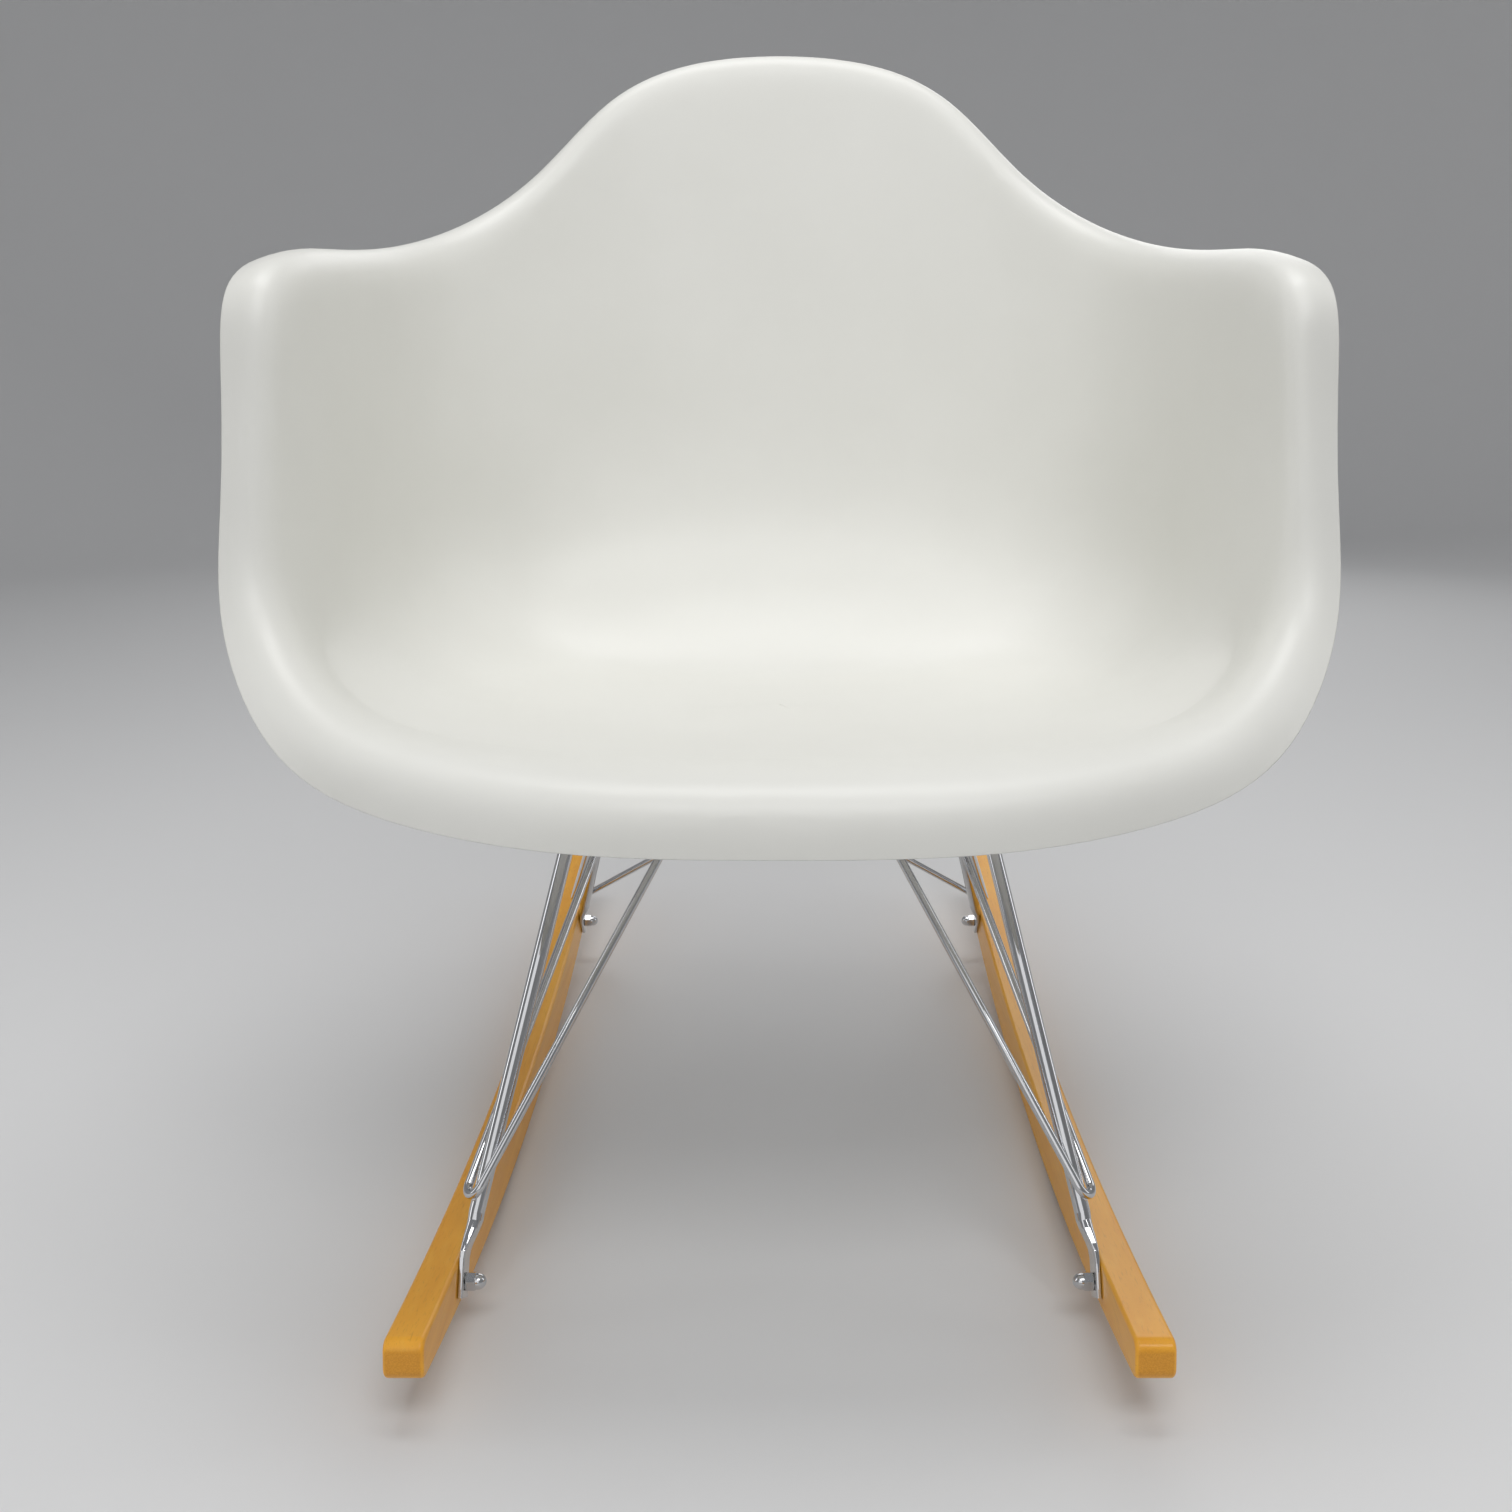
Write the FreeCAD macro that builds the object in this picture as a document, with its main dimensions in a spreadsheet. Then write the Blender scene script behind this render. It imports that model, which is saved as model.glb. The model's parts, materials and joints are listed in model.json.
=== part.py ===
import FreeCAD, Part
import math
import os
import Sketcher

V = FreeCAD.Vector

# Moulded armchair shell on a chromed wire base with two wooden rocker runners.
# Millimetres. The chair faces -Y, +X is the sitter's left, Z is up. The floor is z = 0
# and the runners touch it forward of the middle of their length, where the chair balances.

doc = FreeCAD.newDocument("rocking_chair")

# Driving dimensions

DIMENSIONS = {
    # rocker runners
    "runner_length": 830.0,
    "runner_thickness": 22.0,
    "runner_bottom_radius": 1813.0,
    "runner_mid_height": 35.0,
    "runner_tip_height": 22.0,
    "runner_corner_radius": 7.0,
    "runner_edge_radius": 2.5,
    "runner_inner_x": 187.5,
    # bolts that hold the frame to the runners
    "front_bolt_y": -321.0,
    "front_bolt_height": 42.5,
    "rear_bolt_y": 243.0,
    "rear_bolt_height": 31.7,
    "bolt_diameter": 6.0,
    "bolt_length": 30.0,
    "bolt_hole_diameter": 6.6,
    "bolt_head_diameter": 15.0,
    "bolt_head_height": 3.6,
    "bolt_washer_diameter": 18.0,
    "bolt_recess_diameter": 19.0,
    "bolt_recess_depth": 5.0,
    "washer_thickness": 1.2,
    "socket_size": 4.0,
    "socket_depth": 2.0,
    "nut_across_flats": 10.0,
    "nut_hex_height": 6.0,
    "nut_total_height": 12.0,
    "nut_dome_diameter": 9.4,
    "nut_bore_depth": 9.4,
    # wire frame
    "leg_diameter": 9.5,
    "brace_diameter": 5.5,
    "rail_height": 300.0,
    "rail_front_x": 126.0,
    "rail_front_y": -154.0,
    "rail_rear_x": 113.0,
    "rail_rear_y": 0.0,
    "rail_bend_radius": 24.0,
    "leg_foot_x": 180.0,
    "foot_tab_thickness": 3.4,
    "foot_tab_width": 17.0,
    "foot_tab_above_bolt": 13.0,
    "foot_tab_below_bolt": 9.0,
    "foot_neck_length": 26.0,
    "front_hairpin_radius": 7.0,
    "rear_hairpin_radius": 6.5,
    # flat bars under the seat
    "bar_width": 26.0,
    "bar_thickness": 4.0,
    "bar_length": 266.0,
    "front_bar_y": -130.0,
    "rear_bar_y": -24.0,
    "bar_corner_radius": 8.0,
    # fixings between the bars and the shell
    "seat_screw_x": 80.0,
    "seat_screw_diameter": 6.0,
    "seat_screw_length": 16.0,
    "seat_screw_head_diameter": 11.0,
    "seat_screw_head_height": 3.3,
    "seat_washer_diameter": 14.0,
    "insert_diameter": 8.6,
    "insert_length": 13.0,
    "boss_end_diameter": 27.0,
    "boss_root_diameter": 29.4,
    # where the chair rests on its runners
    "rest_roll": 2.03,
    "rest_shift": -62.5,
    # moulded shell
    "shell_wall": 4.5,
    "seat_centre_y": -95.0,
    "seat_centre_height": 333.0,
}

sheet = doc.addObject("Spreadsheet::Sheet", "dimensions")
for row, (alias, value) in enumerate(DIMENSIONS.items(), start=1):
    sheet.set("A%d" % row, alias.replace("_", " "))
    sheet.set("B%d" % row, str(value))
    sheet.setAlias("B%d" % row, alias)
doc.recompute()


def size(alias):
    """Value of a driving dimension, read back from the sheet."""
    return float(getattr(sheet, alias))


def bind(target, **expressions):
    """Bind properties to expressions, in which a word after $ is an alias of the sheet."""
    for name, expression in expressions.items():
        target.setExpression(name.replace("__", "."), expression.replace("$", "dimensions."))


def flip_x(point):
    return V(-point.x, point.y, point.z)


nodes = {}


def keep(node_object, label):
    """Name a finished sub-part and list it for export."""
    node_object.Label = label
    nodes[label] = node_object
    return node_object


# Helpers for bodies and sketches


def new_body(name):
    body = doc.addObject("PartDesign::Body", name)
    body.Label = name
    return body


def new_sketch(body, name, role):
    """A sketch on one of the body's own origin planes."""
    plane = [feature for feature in body.Origin.OriginFeatures if feature.Role == role][0]
    sketch = body.newObject("Sketcher::SketchObject", name)
    sketch.AttachmentSupport = [(plane, "")]
    sketch.MapMode = "FlatFace"
    return sketch


def dimension(sketch, kind, *arguments, name, expression):
    """Add a dimensional constraint and drive it from the sheet."""
    index = sketch.addConstraint(Sketcher.Constraint(kind, *arguments))
    sketch.renameConstraint(index, name)
    bind(sketch, **{"Constraints__" + name: expression})


def closed_outline(sketch, points):
    """Straight edges through the points, closed and joined end to end."""
    for start, end in zip(points, points[1:] + points[:1]):
        sketch.addGeometry(Part.LineSegment(V(*start, 0), V(*end, 0)), False)
    last = len(points) - 1
    for edge in range(len(points)):
        following = 0 if edge == last else edge + 1
        sketch.addConstraint(Sketcher.Constraint("Coincident", edge, 2, following, 1))


def pad(body, sketch, expression):
    feature = body.newObject("PartDesign::Pad", body.Name + "_pad")
    feature.Profile = sketch
    bind(feature, Length=expression)
    sketch.Visibility = False
    doc.recompute()
    return feature


def pocket(body, sketch, depth=None):
    """Cut a sketch into a body, right through it where no depth is given."""
    feature = body.newObject("PartDesign::Pocket", sketch.Name + "_pocket")
    feature.Profile = sketch
    if depth is None:
        feature.Type = 1
        feature.Midplane = True
    else:
        bind(feature, Length=depth)
    sketch.Visibility = False
    before = body.Shape.Volume
    doc.recompute()
    if feature.Shape.Volume >= before:
        raise RuntimeError("holes cut nothing in " + body.Name)


def fillet(body, base, edge_test, expression, suffix):
    """Round the edges of the last feature that pass a test."""
    names = ["Edge%d" % (i + 1) for i, edge in enumerate(base.Shape.Edges) if edge_test(edge)]
    feature = body.newObject("PartDesign::Fillet", body.Name + suffix)
    feature.Base = (base, names)
    bind(feature, Radius=expression)
    doc.recompute()
    return feature


def mirrored_copy(source, label):
    """The matching piece on the sitter's right."""
    mirror = doc.addObject("Part::Mirroring", label)
    mirror.Source = source
    mirror.Base = V(0, 0, 0)
    mirror.Normal = V(1, 0, 0)
    doc.recompute()
    return keep(mirror, label)


def turn_from_z(direction):
    return FreeCAD.Rotation(V(0, 0, 1), direction)


def placed_copies(source, label, placements):
    """Identical fasteners as separate solids of one node."""
    group = doc.addObject("Part::Feature", label)
    copies = []
    for placement in placements:
        copy = source.Shape.copy()
        copy.Placement = placement.multiply(copy.Placement)
        copies.append(copy)
    group.Shape = Part.makeCompound(copies)
    return keep(group, label)


# Rocker runners


def runner_top_at_tip():
    """Bottom and top corner of the square-cut tip, in the runner's plane."""
    radius = size("runner_bottom_radius")
    half = size("runner_length") / 2
    bottom = V(half, radius - math.sqrt(radius ** 2 - half ** 2), 0)
    inwards = V(-half, radius - bottom.y, 0).normalize()
    return bottom, bottom + inwards * size("runner_tip_height")


def arc_through(radius_centre, start, end):
    centre = V(0, radius_centre, 0)
    radius = (start - centre).Length
    first = math.atan2(start.y - centre.y, start.x)
    last = math.atan2(end.y - centre.y, end.x)
    return Part.ArcOfCircle(Part.Circle(centre, V(0, 0, 1), radius), first, last)


def add_bolt_circle(sketch, index, end, diameter):
    """A circle about the front or rear runner bolt. The diameter is an alias of the sheet."""
    y, z = size(end + "_bolt_y"), size(end + "_bolt_height")
    circle = Part.Circle(V(y, z, 0), V(0, 0, 1), size(diameter) / 2)
    sketch.addGeometry(circle, False)
    dimension(sketch, "Radius", index, circle.Radius,
              name=end + "_radius", expression="$%s / 2" % diameter)
    dimension(sketch, "DistanceX", -1, 1, index, 3, y,
              name=end + "_y", expression="$%s_bolt_y" % end)
    dimension(sketch, "DistanceY", -1, 1, index, 3, z,
              name=end + "_height", expression="$%s_bolt_height" % end)


def build_runner():
    body = new_body("runner_left_body")
    sketch = new_sketch(body, "runner_side_profile", "YZ_Plane")
    bottom, top = runner_top_at_tip()
    rise = top.y - size("runner_mid_height")
    top_radius = (top.x ** 2 + rise ** 2) / (2 * rise)
    sketch.addGeometry(arc_through(size("runner_bottom_radius"), flip_x(bottom), bottom), False)
    sketch.addGeometry(Part.LineSegment(bottom, top), False)
    sketch.addGeometry(arc_through(size("runner_mid_height") + top_radius, flip_x(top), top), False)
    sketch.addGeometry(Part.LineSegment(flip_x(top), flip_x(bottom)), False)
    sketch.addGeometry(Part.Point(V(0, size("runner_mid_height"), 0)), True)
    bottom_arc, rear_end, top_arc, front_end, middle = 0, 1, 2, 3, 4
    for first, first_end, second, second_end in (
            (bottom_arc, 2, rear_end, 1), (rear_end, 2, top_arc, 2),
            (top_arc, 1, front_end, 1), (front_end, 2, bottom_arc, 1)):
        sketch.addConstraint(Sketcher.Constraint("Coincident", first, first_end, second, second_end))
    for arc in (bottom_arc, top_arc):
        sketch.addConstraint(Sketcher.Constraint("Symmetric", arc, 1, arc, 2, -2))
    sketch.addConstraint(Sketcher.Constraint("PointOnObject", bottom_arc, 3, rear_end))
    sketch.addConstraint(Sketcher.Constraint("PointOnObject", middle, 1, -2))
    sketch.addConstraint(Sketcher.Constraint("PointOnObject", middle, 1, top_arc))
    radius = size("runner_bottom_radius")
    dimension(sketch, "Radius", bottom_arc, radius,
              name="bottom_radius", expression="$runner_bottom_radius")
    dimension(sketch, "DistanceY", -1, 1, bottom_arc, 3, radius,
              name="bottom_centre", expression="$runner_bottom_radius")
    dimension(sketch, "DistanceX", bottom_arc, 1, bottom_arc, 2, 2 * bottom.x,
              name="length", expression="$runner_length")
    dimension(sketch, "Distance", rear_end, size("runner_tip_height"),
              name="tip_height", expression="$runner_tip_height")
    dimension(sketch, "DistanceY", -1, 1, middle, 1, size("runner_mid_height"),
              name="mid_height", expression="$runner_mid_height")
    bind(sketch, AttachmentOffset__Base__z="$runner_inner_x")
    blank = pad(body, sketch, "$runner_thickness")
    across = lambda edge: (edge.Curve.TypeId == "Part::GeomLine"
                           and abs(edge.tangentAt(edge.FirstParameter).x) > 0.9)
    tips = fillet(body, blank, across, "$runner_corner_radius", "_tips")
    along = lambda edge: abs(edge.tangentAt(edge.FirstParameter).x) < 0.1
    edges = fillet(body, tips, along, "$runner_edge_radius", "_edges")
    holes = new_sketch(body, "runner_bolt_holes", "YZ_Plane")
    bind(holes, AttachmentOffset__Base__z="$runner_inner_x + $runner_thickness / 2")
    for index, end in enumerate(("front", "rear")):
        add_bolt_circle(holes, index, end, "bolt_hole_diameter")
    pocket(body, holes)
    recesses = new_sketch(body, "runner_bolt_recesses", "YZ_Plane")
    bind(recesses, AttachmentOffset__Base__z="$runner_inner_x + $runner_thickness")
    for index, end in enumerate(("front", "rear")):
        add_bolt_circle(recesses, index, end, "bolt_recess_diameter")
    pocket(body, recesses, "$bolt_recess_depth")
    return keep(body, "runner_left")


# Bent and straight rods of the wire frame


def fillet_points(points, radius):
    """Straight and arc edges along a polyline whose inner corners are rounded."""
    edges = []
    start = points[0]
    for before, corner, after in zip(points, points[1:], points[2:]):
        arriving = (corner - before).normalize()
        leaving = (after - corner).normalize()
        half_turn = arriving.getAngle(leaving) / 2
        first = corner - arriving * radius * math.tan(half_turn)
        last = corner + leaving * radius * math.tan(half_turn)
        inwards = (leaving - arriving).normalize()
        middle = corner + inwards * radius * (1 / math.cos(half_turn) - 1)
        if (first - start).Length > 1e-6:
            edges.append(Part.LineSegment(start, first).toShape())
        edges.append(Part.Arc(first, middle, last).toShape())
        start = last
    if (points[-1] - start).Length > 1e-6:
        edges.append(Part.LineSegment(start, points[-1]).toShape())
    return edges


def tangent_point(before, corner, after, radius):
    """Where a rounded corner's arc meets the run that leaves the corner."""
    arriving = (corner - before).normalize()
    leaving = (after - corner).normalize()
    return corner + leaving * radius * math.tan(arriving.getAngle(leaving) / 2)


def swept_rod(name, points, bend_radius, diameter):
    """A round rod along rounded corners. The diameter is an alias of the sheet."""
    path = doc.addObject("Part::Feature", name + "_path")
    path.Shape = Part.Wire(fillet_points(points, bend_radius))
    path.Visibility = False
    section = doc.addObject("Part::Circle", name + "_section")
    bind(section, Radius="$%s / 2" % diameter)
    first_run = path.Shape.Edges[0]
    direction = first_run.tangentAt(first_run.FirstParameter)
    section.Placement = FreeCAD.Placement(points[0], turn_from_z(direction))
    section.Visibility = False
    rod = doc.addObject("Part::Sweep", name)
    rod.Sections = [section]
    rod.Spine = (path, ["Edge%d" % (i + 1) for i in range(len(path.Shape.Edges))])
    rod.Solid = True
    doc.recompute()
    return rod


def straight_rod(name, start, end, diameter):
    rod = doc.addObject("Part::Cylinder", name)
    bind(rod, Radius="$%s / 2" % diameter)
    rod.Height = (end - start).Length
    rod.Placement = FreeCAD.Placement(start, turn_from_z(end - start))
    doc.recompute()
    return rod


def cut_from(base, tools, name):
    """The base piece, trimmed to seat against its neighbours."""
    for index, tool in enumerate(tools):
        cut = doc.addObject("Part::Cut", "%s_trim_%d" % (name, index))
        cut.Base = base
        cut.Tool = tool
        base = cut
    doc.recompute()
    return base


def rounded_section(centre, across, flat, half_width, half_thickness, squareness):
    """A closed curve between a circle (squareness 2) and a rounded rectangle (8)."""
    points = []
    steps = 24
    for step in range(steps):
        angle = 2 * math.pi * step / steps
        x, y = math.cos(angle), math.sin(angle)
        reach = (abs(x) ** squareness + abs(y) ** squareness) ** (-1 / squareness)
        points.append(centre + across * (x * reach * half_width) + flat * (y * reach * half_thickness))
    curve = Part.BSplineCurve()
    curve.interpolate(Points=points, PeriodicFlag=True)
    return Part.Wire(curve.toShape())


def frame_point(end):
    """Corner of the side rail where the front or rear leg's line meets it."""
    return V(size("rail_%s_x" % end), size("rail_%s_y" % end), size("rail_height"))


def leg_neck(end):
    """Where the round leg begins to flatten, and its direction down in the runner's plane."""
    corner = frame_point(end)
    bolt = V(0, size(end + "_bolt_y"), size(end + "_bolt_height"))
    upwards = (V(0, corner.y, corner.z) - bolt).normalize()
    neck = bolt + upwards * (size("foot_tab_above_bolt") + size("foot_neck_length"))
    return V(size("leg_foot_x"), neck.y, neck.z), bolt, upwards


def build_leg(end):
    """A round rod whose lower end is pressed flat and drilled for the runner bolt."""
    corner, other = frame_point(end), frame_point("rear" if end == "front" else "front")
    neck, bolt, upwards = leg_neck(end)
    top = tangent_point(other, corner, neck, size("rail_bend_radius"))
    along = (top - neck).normalize()
    tab_x = size("runner_inner_x") - size("foot_tab_thickness") / 2
    sideways = V(1, 0, 0)
    radius = size("leg_diameter") / 2
    tab_half_width = size("foot_tab_width") / 2
    tab_half_thickness = size("foot_tab_thickness") / 2

    def section(centre, direction, flatness):
        normal = (sideways - direction * sideways.dot(direction)).normalize()
        return rounded_section(
            centre, normal.cross(direction), normal,
            radius + (tab_half_width - radius) * flatness,
            radius + (tab_half_thickness - radius) * flatness,
            2 + 5 * flatness)

    tab_top = bolt + upwards * size("foot_tab_above_bolt")
    tab_top.x = tab_x
    tab_end = bolt - upwards * size("foot_tab_below_bolt")
    tab_end.x = tab_x
    sections = [section(top, along, 0), section(neck, along, 0)]
    steps = 6
    for step in range(1, steps):
        share = step / steps
        ease = share * share * (3 - 2 * share)
        centre = neck + (tab_top - neck) * share
        centre.x = neck.x + (tab_x - neck.x) * ease
        direction = (along * (1 - ease) + upwards * ease).normalize()
        sections.append(section(centre, direction, ease))
    sections += [section(tab_top, upwards, 1), section(tab_end, upwards, 1)]
    rod = Part.makeLoft(sections, True, True)
    hole = Part.makeCylinder(size("bolt_hole_diameter") / 2, 30, bolt + V(tab_x - 15, 0, 0), sideways)
    outer_face = size("runner_inner_x")
    inner_face = outer_face - size("foot_tab_thickness")
    pressed = Part.makeBox(5, 80, 80, V(outer_face, bolt.y - 40, bolt.z - 40))
    nut_seat = Part.makeCylinder(7.5, 10, bolt + V(inner_face - 10, 0, 0), sideways)
    leg = doc.addObject("Part::Feature", end + "_leg_left")
    leg.Shape = rod.cut([pressed, nut_seat, hole])
    return keep(leg, end + "_leg_left")


def build_side_rail():
    """The leg rod's level run under the seat with a bend at each end."""
    front, rear = frame_point("front"), frame_point("rear")
    radius = size("rail_bend_radius")
    front_start = tangent_point(rear, front, leg_neck("front")[0], radius)
    rear_start = tangent_point(front, rear, leg_neck("rear")[0], radius)
    rail = swept_rod("side_rail_left", [front_start, front, rear, rear_start], radius, "leg_diameter")
    return keep(rail, "side_rail_left")


def build_bar(end):
    """A flat steel bar across both rails with a hole near each shell boss."""
    name = end + "_cross_bar"
    body = new_body(name)
    sketch = new_sketch(body, name + "_outline", "XY_Plane")
    half_length, half_width = size("bar_length") / 2, size("bar_width") / 2
    closed_outline(sketch, [(-half_length, -half_width), (half_length, -half_width),
                            (half_length, half_width), (-half_length, half_width)])
    for edge in (0, 2):
        sketch.addConstraint(Sketcher.Constraint("Horizontal", edge))
    for edge in (1, 3):
        sketch.addConstraint(Sketcher.Constraint("Vertical", edge))
    sketch.addConstraint(Sketcher.Constraint("Symmetric", 0, 1, 1, 2, -1, 1))
    dimension(sketch, "DistanceX", 0, 1, 0, 2, 2 * half_length,
              name="length", expression="$bar_length")
    dimension(sketch, "DistanceY", 1, 1, 1, 2, 2 * half_width,
              name="width", expression="$bar_width")
    plate = pad(body, sketch, "$bar_thickness")
    upright = lambda edge: abs(edge.tangentAt(edge.FirstParameter).z) > 0.9
    fillet(body, plate, upright, "$bar_corner_radius", "_corners")
    holes = new_sketch(body, name + "_holes_sketch", "XY_Plane")
    for index, side in enumerate((-1, 1)):
        x = side * size("seat_screw_x")
        holes.addGeometry(Part.Circle(V(x, 0, 0), V(0, 0, 1), size("bolt_hole_diameter") / 2), False)
        holes.addConstraint(Sketcher.Constraint("PointOnObject", index, 3, -1))
        dimension(holes, "Radius", index, size("bolt_hole_diameter") / 2,
                  name="radius_%d" % index, expression="$bolt_hole_diameter / 2")
        dimension(holes, "DistanceX", -1, 1, index, 3, x,
                  name="x_%d" % index, expression="%d * $seat_screw_x" % side)
    pocket(body, holes)
    body.Placement = FreeCAD.Placement(V(0, size(end + "_bar_y"), bar_underside()), FreeCAD.Rotation())
    doc.recompute()
    return keep(body, name)


# Corner points of the hairpin braces: the lower virtual corner, the end of the outer run
# and the end of the inner run, all for the sitter's left. The rear pair's inner runs cross
# under the middle of the seat, so the one on the right ends further forward.
HAIRPINS = {
    "front": (V(198, -324, 58), V(97, -24, 304), V(45, -134, 304)),
    "rear": (V(194, 232, 55), V(108, -130, 304), V(-100, -17, 304)),
}
REAR_TIE_END_RIGHT = V(94, -31, 304)


def bar_underside():
    return size("rail_height") + size("leg_diameter") / 2


def bar_top():
    return bar_underside() + size("bar_thickness")


def trimming_block():
    """All the room above the bars' underside, where no brace may reach."""
    block = doc.addObject("Part::Box", "trimming_block")
    block.Length, block.Width, block.Height = 400, 400, 60
    block.Placement = FreeCAD.Placement(V(-200, -300, bar_underside()), FreeCAD.Rotation())
    block.Visibility = False
    return block


def leg_cutter(name, shape):
    """A fixed copy of a leg, for shaping the rods that are welded against it."""
    cutter = doc.addObject("Part::Feature", name)
    cutter.Shape = shape
    cutter.Visibility = False
    return cutter


def build_brace(end, tools):
    """The outer run of a thin rod that hooks round the foot of the leg, with its bend."""
    corner, outer_end, inner_end = HAIRPINS[end]
    radius = size(end + "_hairpin_radius")
    bend_end = tangent_point(outer_end, corner, inner_end, radius)
    top = outer_end + (outer_end - corner).normalize() * 2 * size("brace_diameter")
    rod = swept_rod(end + "_brace_blank", [top, corner, bend_end], radius, "brace_diameter")
    return keep(cut_from(rod, tools, end + "_brace"), end + "_brace_left")


def build_tie(label, start, end, tools):
    """The straight inner run of the same rod, from the bend up to a cross bar."""
    top = end + (end - start).normalize() * 2 * size("brace_diameter")
    rod = straight_rod(label + "_blank", start, top, "brace_diameter")
    return keep(cut_from(rod, tools, label), label)


def tie_start(end, inner_end):
    corner, outer_end, _ = HAIRPINS[end]
    return tangent_point(outer_end, corner, inner_end, size(end + "_hairpin_radius"))


# Fasteners


def cylinder(name, radius, height, start="0"):
    """A cylinder about Z whose sizes follow the sheet."""
    item = doc.addObject("Part::Cylinder", name)
    bind(item, Radius=radius, Height=height, Placement__Base__z=start)
    item.Visibility = False
    return item


def cone(name, bottom_radius, top_radius, height):
    item = doc.addObject("Part::Cone", name)
    bind(item, Radius1=bottom_radius, Radius2=top_radius, Height=height)
    item.Visibility = False
    return item


def hexagon(name, across_flats, height, start="0"):
    """A hexagonal prism about Z whose sizes follow the sheet."""
    item = doc.addObject("Part::Prism", name)
    item.Polygon = 6
    bind(item, Circumradius=across_flats + " / sqrt(3)", Height=height, Placement__Base__z=start)
    item.Visibility = False
    return item


def combine(kind, name, base, tool):
    """A boolean of two objects: Cut, Fuse or Common."""
    item = doc.addObject("Part::" + kind, name)
    item.Base = base
    item.Tool = tool
    item.Visibility = False
    doc.recompute()
    return item


def build_screw(kind):
    """A screw along -Z with a low domed head on z = 0 and a hexagon socket."""
    head = cylinder(kind + "_head", "$%s_head_diameter / 2" % kind, "$%s_head_height" % kind)
    doc.recompute()
    height = size(kind + "_head_height")
    crown = [index + 1 for index, edge in enumerate(head.Shape.Edges)
             if edge.Closed and edge.Vertexes[0].Z > height / 2]
    dome = doc.addObject("Part::Fillet", kind + "_dome")
    dome.Base = head
    dome.Edges = [(edge, height * 0.78, height * 0.78) for edge in crown]
    shank = cylinder(kind + "_shank", "$%s_diameter / 2" % kind, "$%s_length" % kind,
                     "-$%s_length" % kind)
    blank = combine("Fuse", kind + "_blank", dome, shank)
    socket = hexagon(kind + "_socket", "$socket_size", "$socket_depth + 1",
                     "$%s_head_height - $socket_depth" % kind)
    return combine("Cut", kind, blank, socket)


def build_ring(name, outer_diameter, hole_diameter, height):
    """A washer or a threaded bush standing on z = 0."""
    disc = cylinder(name + "_disc", "$%s / 2" % outer_diameter, "$" + height)
    hole = cylinder(name + "_hole", "$%s / 2" % hole_diameter, "$" + height)
    return combine("Cut", name, disc, hole)


def build_cap_nut():
    """A domed nut standing on z = 0, its corners chamfered on both sides."""
    body = hexagon("nut_hexagon", "$nut_across_flats", "$nut_hex_height")
    near, far = "$nut_across_flats * 0.48", "$nut_across_flats * 0.48 + $nut_hex_height * 1.7"
    for index, radii in enumerate(((near, far), (far, near))):
        limit = cone("nut_chamfer_%d" % index, radii[0], radii[1], "$nut_hex_height")
        body = combine("Common", "nut_trimmed_%d" % index, body, limit)
    neck = cylinder("nut_neck", "$nut_dome_diameter / 2", "$nut_total_height - $nut_dome_diameter / 2")
    ball = doc.addObject("Part::Sphere", "nut_dome")
    bind(ball, Radius="$nut_dome_diameter / 2",
         Placement__Base__z="$nut_total_height - $nut_dome_diameter / 2")
    ball.Visibility = False
    dome = combine("Fuse", "nut_cap", neck, ball)
    blank = combine("Fuse", "nut_blank", body, dome)
    bore = cylinder("nut_bore", "$bolt_diameter / 2", "$nut_bore_depth")
    return combine("Cut", "cap_nut_blank", blank, bore)


def build_fasteners():
    """Every group of identical fasteners, each set out where it seats."""
    inner_face = size("runner_inner_x")
    seat_x = inner_face + size("runner_thickness") - size("bolt_recess_depth")
    washer = size("washer_thickness")
    sides = [(side, end) for side in (1, -1) for end in ("front", "rear")]

    def at_runner(x):
        """Placements on each bolt's axis with Z pointing outwards."""
        return [FreeCAD.Placement(V(side * x, size(end + "_bolt_y"), size(end + "_bolt_height")),
                                  turn_from_z(V(side, 0, 0))) for side, end in sides]

    about_face = FreeCAD.Placement(V(0, 0, 0), FreeCAD.Rotation(V(1, 0, 0), 180))
    placed_copies(build_screw("bolt"), "runner_bolts", at_runner(seat_x + washer))
    placed_copies(build_ring("bolt_washer", "bolt_washer_diameter", "bolt_hole_diameter",
                             "washer_thickness"), "runner_washers", at_runner(seat_x))
    placed_copies(build_cap_nut(), "cap_nuts",
                  [place.multiply(about_face)
                   for place in at_runner(inner_face - size("foot_tab_thickness"))])

    def under_seat(z):
        """Placements on each seat screw's axis."""
        return [FreeCAD.Placement(V(side * size("seat_screw_x"), size(end + "_bar_y"), z),
                                  FreeCAD.Rotation()) for side, end in sides]

    below = bar_underside() - washer
    placed_copies(build_screw("seat_screw"), "seat_screws",
                  [place.multiply(about_face) for place in under_seat(below)])
    placed_copies(build_ring("seat_washer", "seat_washer_diameter", "bolt_hole_diameter",
                             "washer_thickness"), "seat_washers", under_seat(below))
    placed_copies(build_ring("insert", "insert_diameter", "seat_screw_diameter", "insert_length"),
                  "threaded_inserts", under_seat(bar_top()))


# Moulded shell

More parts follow.
